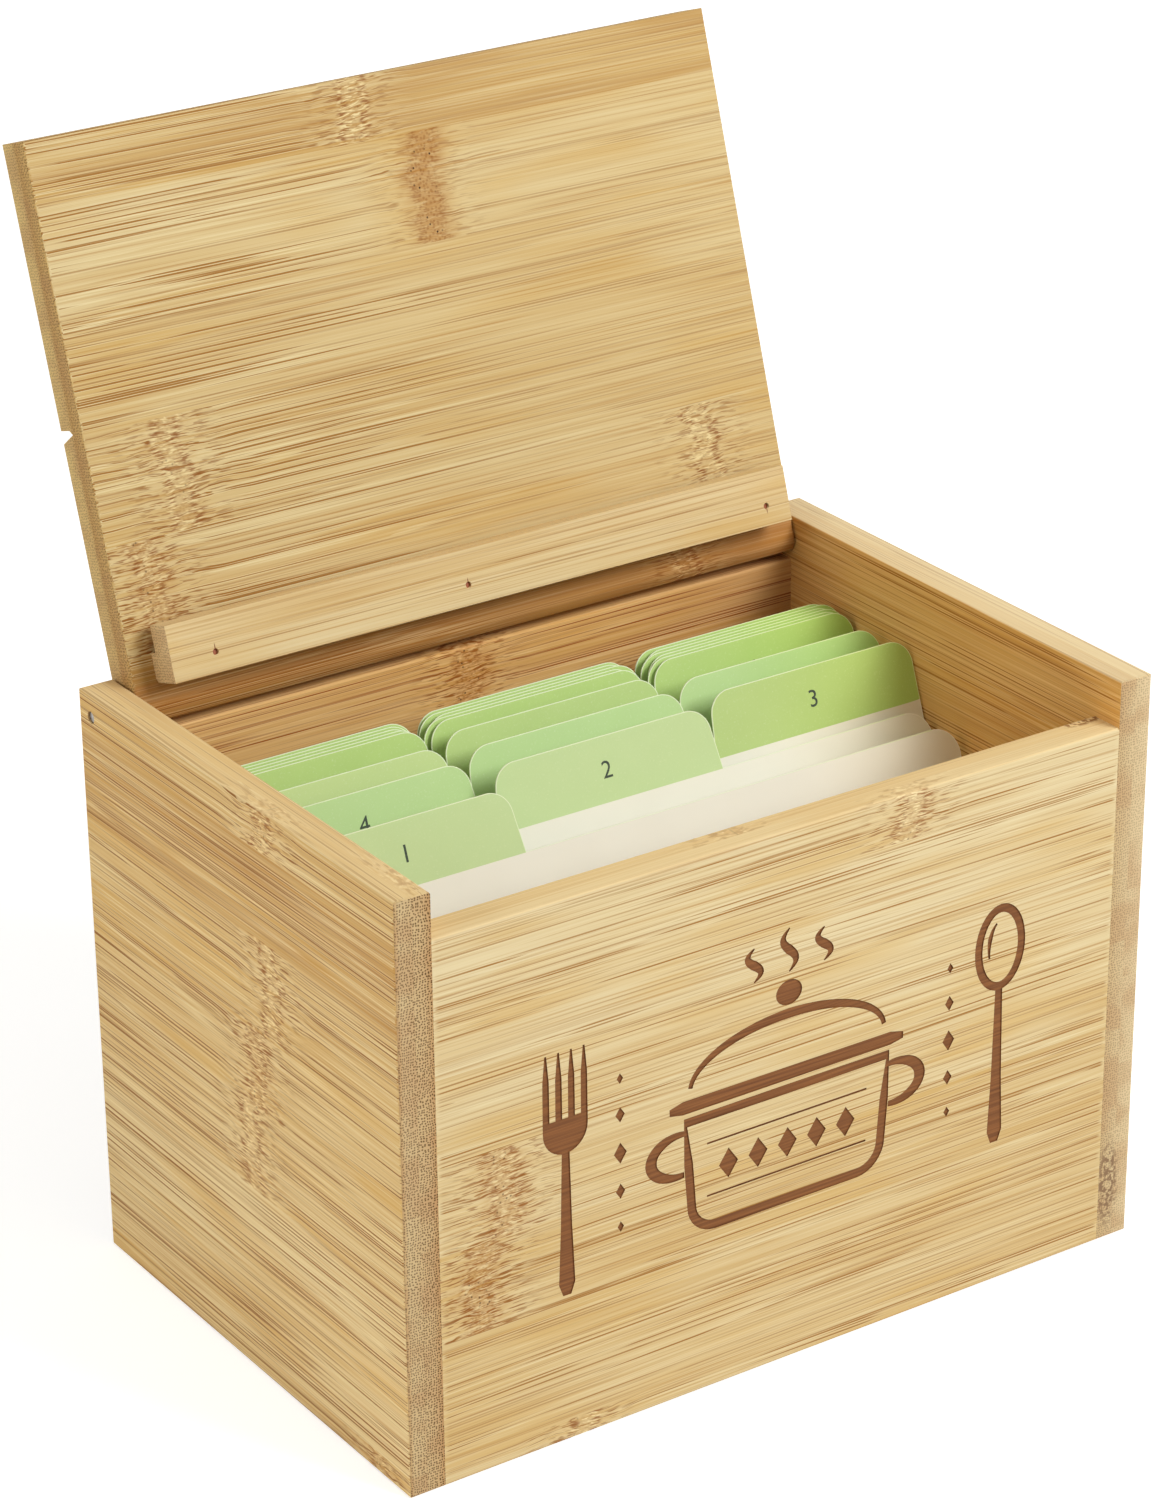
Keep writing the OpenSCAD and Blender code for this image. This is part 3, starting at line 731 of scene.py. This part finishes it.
def divider_tree():
    """Geometry nodes: the corners of an outline are rounded, filled and given thickness, then
    the sheet is leaned back and stood on its foot."""
    tree = bpy.data.node_groups.new("tabbed_divider", "GeometryNodeTree")
    for name, kind in (("Outline", "Geometry"), ("Thickness", "Float"), ("Lean", "Float"),
                       ("Width", "Float"), ("Length", "Float"), ("Foot", "Vector"),
                       ("Paper", "Material")):
        tree.interface.new_socket(name, in_out="INPUT", socket_type="NodeSocket" + kind)
    tree.interface.new_socket("Divider", in_out="OUTPUT", socket_type="NodeSocketGeometry")
    given = tree.nodes.new("NodeGroupInput").outputs
    made = tree.nodes.new("NodeGroupOutput").inputs

    def add(kind, takes, **settings):
        """A node with its settings, whose inputs take the given sockets or plain values."""
        node = tree.nodes.new("GeometryNode" + kind)
        for key, value in settings.items():
            setattr(node, key, value)
        for socket, value in takes.items():
            feed(tree, node.inputs[socket], value)
        return node.outputs

    curve = add("MeshToCurve", {"Mesh": given["Outline"]})["Curve"]
    radius = add("InputNamedAttribute", {"Name": "corner_radius"}, data_type="FLOAT")["Attribute"]
    rounded = add("FilletCurve", {"Curve": curve, "Radius": radius, "Count": 10,
                                  "Limit Radius": True}, mode="POLY")["Curve"]
    filled = add("FillCurve", {"Curve": rounded}, mode="NGONS")["Mesh"]

    # Where a point is on the sheet, from 0 to 1 both ways, tells the paper what is printed.
    x, y, _ = parts_of(tree, add("InputPosition", {})["Position"])
    chart = point(tree, plus(tree, sum_of(tree, "DIVIDE", x, given["Width"]), 0.5),
                  sum_of(tree, "DIVIDE", y, given["Length"]))
    printed = add("StoreNamedAttribute", {"Geometry": filled, "Name": "sheet", "Value": chart},
                  data_type="FLOAT2", domain="CORNER")["Geometry"]
    flipped = add("FlipFaces", {"Mesh": printed})["Mesh"]
    backwards = point(tree, 0.0, 0.0, times(tree, given["Thickness"], -1.0))
    thick = add("ExtrudeMesh", {"Mesh": flipped, "Offset": backwards, "Offset Scale": 1.0,
                                "Individual": False}, mode="FACES")
    edged = add("StoreNamedAttribute", {"Geometry": thick["Mesh"], "Selection": thick["Side"],
                                        "Name": "cut_edge_and_highlight", "Value": 1.0},
                data_type="FLOAT", domain="FACE")["Geometry"]
    both = tree.nodes.new("GeometryNodeJoinGeometry")
    for part in (edged, printed):
        feed(tree, both.inputs[0], part)
    welded = add("MergeByDistance", {"Geometry": both.outputs[0], "Distance": 1e-6})["Geometry"]
    stood = add("Transform", {"Geometry": welded, "Translation": given["Foot"],
                              "Rotation": point(tree, given["Lean"])})["Geometry"]
    real = add("RealizeInstances", {"Geometry": stood})["Geometry"]
    coated = add("SetMaterial", {"Geometry": real, "Material": given["Paper"]})["Geometry"]
    feed(tree, made["Divider"], coated)
    return tree


def paper(name, light, deep):
    """Stiff uncoated paper: a cream sheet whose tab is printed green up to a sharp edge."""
    material, tree, shader = finish_of(name)
    shader.inputs["Specular IOR Level"].default_value = 0.35
    chart = tree.nodes.new("ShaderNodeAttribute")
    chart.attribute_name = "sheet"
    height = times(tree, parts_of(tree, chart.outputs["Vector"])[1], top_of_tab * 1000)
    place = own_place(tree)
    pulp = cloud(tree, place, (0.0004, 0.0004, 0.0004), 3.3, 3.0)
    mottle = cloud(tree, place, (0.012, 0.012, 0.012), 5.1, 2.0)
    cream = blend(tree, mottle, shade(239, 238, 224), shade(234, 232, 217))
    green = blend(tree, mottle, shade(*light), shade(*deep))
    fleck = times(tree, step(tree, pulp, 0.55, 0.8), 0.25)
    green = blend(tree, fleck, green, shade(228, 238, 205))
    print_from, print_blur = sheet_height * 1000, 0.05
    printed = step(tree, height, print_from - print_blur, print_from + print_blur)
    colour = blend(tree, printed, cream, green)
    # Cut edges are paler paper, and the thin rim beside them on the printed face is partly a
    # painted highlight.
    edge = tree.nodes.new("ShaderNodeAttribute")
    edge.attribute_name = "cut_edge_and_highlight"
    pale_edge_and_highlight = blend(tree, printed, shade(250, 249, 240), shade(229, 241, 204))
    colour = blend(tree, edge.outputs["Fac"], colour, pale_edge_and_highlight)
    # Towards the right ends, beside the right side panel, the paper is tinted with painted warm
    # shade: the panel's shadow and the warm light its bare wood throws back.
    painted_shade_share = step(tree, parts_of(tree, place)[0], 0.03, 0.076)
    painted_warm_shade = blend(tree, printed, (1.0, 0.95, 0.83, 1.0), (0.95, 1.0, 0.64, 1.0))
    colour = blend(tree, painted_shade_share, colour, painted_warm_shade, "MULTIPLY")
    feed(tree, shader.inputs["Base Color"], colour)
    feed(tree, shader.inputs["Roughness"], line_up(tree, pulp, 0.12, 0.55))
    emboss(tree, shader, pulp, 0.25, 0.00002)
    return material


# The papers with their slots, and which of them each divider is made of.
papers = [
    (paper("paper_yellow_green", (198, 221, 162), (191, 215, 153)), "paper_yellow_green"),
    (paper("paper_mint", (188, 217, 152), (181, 212, 144)), "paper_mint"),
    (paper("paper_lime", (198, 218, 150), (191, 213, 142)), "paper_lime"),
    (paper("paper_green", (184, 212, 128), (176, 206, 120)), "paper_green"),
    (paper("paper_leaf", (186, 211, 136), (179, 205, 127)), "paper_lime")]
paper_of = [0, 0, 4, 1, 1, 1, 2, 4, 3] + [3] * 15

# How far each divider stands to the right of the middle, in millimetres.
settled = [-0.9, -0.6, 0.7, -0.7, -0.3, -0.9, -0.4, -0.2, 0.2, 0.9, 0.1, -0.5,
           0.6, -0.8, 0.4, -0.1, 0.8, -0.6, 0.3, -0.4, 0.9, 0.9, 0.0, -0.3]

# The numbers: their ink, two hundredths of a millimetre thick, and their place on a tab.
number_height = 0.0049
number_below_top = 0.0067
side_tab_middle = 2 * sheet_width / 6 + 0.00025
half_ink_thickness = 0.00001
ink, ink_tree, ink_shader = finish_of("number_ink")
ink_cloud = cloud(ink_tree, own_place(ink_tree), (0.0003, 0.0003, 0.0003), 1.9, 2.0)
ink_colour = scale_of(ink_tree, ((0.3, shade(34, 50, 34)), (0.7, shade(52, 70, 48))), ink_cloud)
feed(ink_tree, ink_shader.inputs["Base Color"], ink_colour["Color"])
ink_shader.inputs["Roughness"].default_value = 0.6

divider_group = divider_tree()
sockets = {item.name: item.identifier for item in divider_group.interface.items_tree
           if item.item_type == "SOCKET" and item.in_out == "INPUT"}

for i in range(24):
    node = f"divider_{i + 1:02d}"
    low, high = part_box(node)
    # The sheet stands on its back face's foot, and the front face's is a little higher.
    foot = Vector((settled[i] / 1000, low.y, low.z + paper_thickness * math.sin(lean)))
    paper_material, paper_slot = papers[paper_of[i]]

    outline = bpy.data.meshes.new(node + "_outline")
    corners = (left_outline, middle_outline, right_outline)[i % 3]
    outline.from_pydata([(x, y, 0) for x, y, r in corners],
                        [(k, (k + 1) % len(corners)) for k in range(len(corners))], [])
    radii = outline.attributes.new("corner_radius", "FLOAT", "POINT")
    radii.data.foreach_set("value", [r for x, y, r in corners])
    maker = show(node + "_maker", outline)
    growth = maker.modifiers.new("divider", "NODES")
    growth.node_group = divider_group
    for socket, value in (("Thickness", paper_thickness), ("Lean", math.pi / 2 - lean),
                          ("Width", sheet_width), ("Length", top_of_tab), ("Foot", foot),
                          ("Paper", paper_material)):
        growth[sockets[socket]] = value
    sheet_mesh = made_plain(maker)
    sheet_mesh.name = node + "_sheet"
    bpy.data.objects.remove(maker)

    # A paler rim runs round the printed face: partly the paler cut edge of the paper, partly a
    # painted highlight.
    cut = bmesh.new()
    cut.from_mesh(sheet_mesh)
    rim_mark = cut.faces.layers.float["cut_edge_and_highlight"]
    printed_face = min((f for f in cut.faces if len(f.verts) > 8), key=lambda f: f.normal.y)
    ring = bmesh.ops.inset_region(cut, faces=[printed_face], thickness=rim_width)
    for facet in ring["faces"]:
        facet[rim_mark] = 1.0
    cut.to_mesh(sheet_mesh)
    cut.free()
    sheet = show(node + "_sheet", sheet_mesh)
    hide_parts(node)
    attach(sheet, node)

    words = bpy.data.curves.new(node + "_words", "FONT")
    words.body = str(i + 1)
    words.size = number_height
    words.align_x = "CENTER"
    words.align_y = "CENTER"
    words.extrude = half_ink_thickness
    words.resolution_u = 3
    writer = show(node + "_writer", words)
    number_mesh = made_plain(writer)
    bpy.data.objects.remove(writer)
    middle_x = (-side_tab_middle, 0, side_tab_middle)[i % 3]
    spot = (foot + Vector((middle_x, 0, 0)) + sheet_up * (top_of_tab - number_below_top)
            + sheet_front * (2 * half_ink_thickness))
    number_mesh.transform(Matrix.Translation(spot) @ Matrix.Rotation(math.pi / 2 - lean, 4, "X"))
    number_mesh.materials.clear()
    number_mesh.materials.append(ink)
    number = show(f"number_{i + 1:02d}", number_mesh)
    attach(number, node)


# ---- Floor, light and camera ----
# A white studio table that keeps the box's soft shadow, a strong softbox at the front and
# right, a weaker one at the left, a faint one overhead, and the photograph's viewpoint.

table_reach = 3
table_drop = 0.0001


def seen_directly(tree):
    """1 for the camera and in what shines or is looked through, 0 as light on other things."""
    ray = tree.nodes.new("ShaderNodeLightPath").outputs
    return sum_of(tree, "MAXIMUM", ray["Is Camera Ray"],
                  sum_of(tree, "MAXIMUM", ray["Is Glossy Ray"], ray["Is Transmission Ray"]))


floor_mesh = bpy.data.meshes.new("floor")
floor_mesh.from_pydata([(table_reach * x, table_reach * y, -table_drop)
                        for x, y in ((-1, -1), (1, -1), (1, 1), (-1, 1))], [], [(0, 1, 2, 3)])
floor = show("floor", floor_mesh)
floor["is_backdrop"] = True
table_top, table_tree, table_shader = finish_of("table_top")
table_shader.inputs["Roughness"].default_value = 0.8
table_place = own_place(table_tree)
table_grain = cloud(table_tree, table_place, (0.05, 0.05, 0.05), 1.0)
feed(table_tree, table_shader.inputs["Base Color"],
     blend(table_tree, table_grain, (0.82, 0.82, 0.82, 1), (0.84, 0.84, 0.84, 1)))
table_shader.inputs["Emission Color"].default_value = (0.94, 0.97, 1, 1)
# Far from the box, where the lamps hardly reach, the table is kept as white as near it.
far = step(table_tree, arrow(table_tree, "LENGTH", table_place), 0.5, 1.4)
glow = times(table_tree, seen_directly(table_tree), line_up(table_tree, far, 0.5, 0.6))
feed(table_tree, table_shader.inputs["Emission Strength"], glow)
floor_mesh.materials.append(table_top)

world = bpy.data.worlds.new("studio")
bpy.context.scene.world = world
world.use_nodes = True
sky_tree = world.node_tree
sky = sky_tree.nodes["Background"]
sky_seen = seen_directly(sky_tree)
feed(sky_tree, sky.inputs["Color"], blend(sky_tree, sky_seen, (1, 0.92, 0.78, 1), (1, 1, 1, 1)))
feed(sky_tree, sky.inputs["Strength"], line_up(sky_tree, sky_seen, 0.7, 0.3))

lit_middle = Vector((0, 0, 0.1))
for name, place, size, power in (("key_softbox", (0.6, -1.04, 1.0), 0.65, 17.4),
                                 ("top_softbox", (0.0, 0.0, 1.3), 0.9, 2.2),
                                 ("left_softbox", (-1.25, -0.05, 0.5), 0.8, 5.6)):
    lamp = bpy.data.lights.new(name, "AREA")
    lamp.shape = "SQUARE"
    lamp.size = size
    lamp.energy = power
    softbox = show(name, lamp)
    softbox.location = place
    softbox.rotation_euler = (lit_middle - Vector(place)).to_track_quat("-Z", "Y").to_euler()

# The viewpoint, solved from the edges of the photographed box.
film_width = 36.0
focal_length_in_pixels = 4661.98
photo_height = 1500
lens = bpy.data.cameras.new("photo_camera")
lens.sensor_width = film_width
lens.lens = film_width * focal_length_in_pixels / photo_height
lens.shift_y = 0.1
lens.clip_start = 0.05
lens.clip_end = 20.0
camera = show("photo_camera", lens)
eye = (-0.457367, -0.669363, 0.477268)
right = Vector((0.8283345, -0.5601488, -0.0097652))
down = Vector((-0.2559533, -0.3628774, -0.8959955))
forward = Vector((0.4983472, 0.7446834, -0.4439558))
camera.matrix_world = Matrix.Translation(eye) @ Matrix(
    (right, -down, -forward)).transposed().to_4x4()
bpy.context.scene.camera = camera
bpy.context.scene.view_settings.view_transform = "Standard"

low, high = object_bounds()
